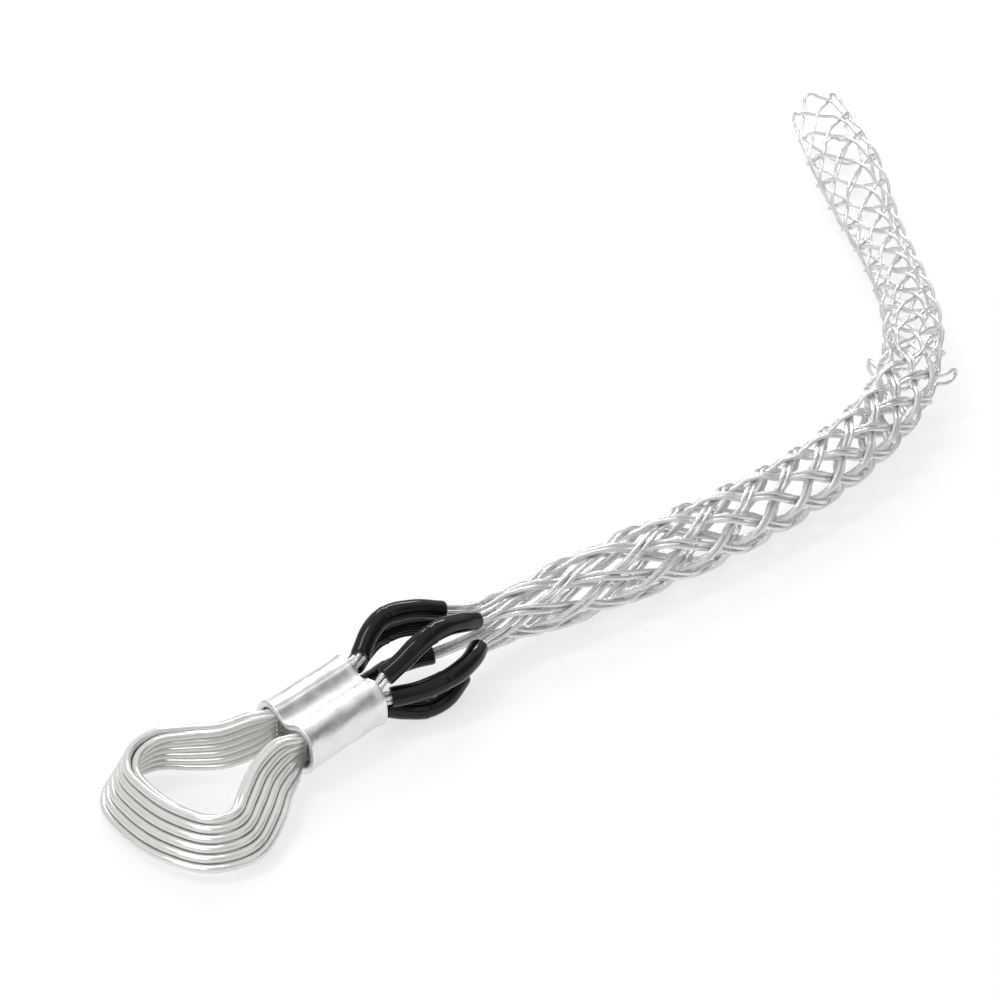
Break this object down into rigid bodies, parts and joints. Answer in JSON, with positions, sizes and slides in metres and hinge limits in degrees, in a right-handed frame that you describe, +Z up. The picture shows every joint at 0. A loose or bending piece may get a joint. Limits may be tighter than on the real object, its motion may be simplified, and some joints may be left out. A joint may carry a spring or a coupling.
{
  "type": "cable pulling grip",
  "caption": "Woven wire rope pulling grip with a tube-covered rope eye, a pressed twin-lobe ferrule, plastic leg sleeves and a stepped mesh sock with looped tail.",
  "frame": {"origin": "centre of the bounding box at the floor under the grip", "axes": "+Y from the eye's end towards the open tail, along which the tail lies straight; +Z up from the floor"},
  "size_m": [0.3888, 0.769, 0.0453],
  "materials": {
    "ferrule_aluminium": "satin, pressed, slightly scuffed",
    "sleeve_plastic": "glossy black shrink sleeve",
    "rope_steel": "bright galvanized stranded rope",
    "eye_tube_clear": "clear, faintly green plastic tube over the rope"
  },
  "bodies": {
    "root": {"ferrule": "ferrule_aluminium", "leg_sleeve_1": "sleeve_plastic", "leg_sleeve_2": "sleeve_plastic", "leg_sleeve_3": "sleeve_plastic", "leg_sleeve_4": "sleeve_plastic", "leg_sleeve_5": "sleeve_plastic", "leg_sleeve_6": "sleeve_plastic", "wire_rope_long_1": "rope_steel", "wire_rope_long_2": "rope_steel", "wire_rope_long_3": "rope_steel", "wire_rope_long_4": "rope_steel", "wire_rope_long_5": "rope_steel", "wire_rope_long_6": "rope_steel", "wire_rope_short_1": "rope_steel", "wire_rope_short_2": "rope_steel", "wire_rope_short_3": "rope_steel", "wire_rope_short_4": "rope_steel", "wire_rope_short_5": "rope_steel", "wire_rope_short_6": "rope_steel", "eye_rope_long_1": "rope_steel", "eye_rope_long_2": "rope_steel", "eye_rope_long_3": "rope_steel", "eye_rope_long_4": "rope_steel", "eye_rope_long_5": "rope_steel", "eye_rope_long_6": "rope_steel", "eye_rope_short_1": "rope_steel", "eye_rope_short_2": "rope_steel", "eye_rope_short_3": "rope_steel", "eye_rope_short_4": "rope_steel", "eye_rope_short_5": "rope_steel", "eye_rope_short_6": "rope_steel", "eye_tube_outer_1": "eye_tube_clear", "eye_tube_outer_2": "eye_tube_clear", "eye_tube_outer_3": "eye_tube_clear", "eye_tube_outer_4": "eye_tube_clear", "eye_tube_outer_5": "eye_tube_clear", "eye_tube_outer_6": "eye_tube_clear", "eye_tube_inner_1": "eye_tube_clear", "eye_tube_inner_2": "eye_tube_clear", "eye_tube_inner_3": "eye_tube_clear", "eye_tube_inner_4": "eye_tube_clear", "eye_tube_inner_5": "eye_tube_clear", "eye_tube_inner_6": "eye_tube_clear"}
  },
  "joints": []
}
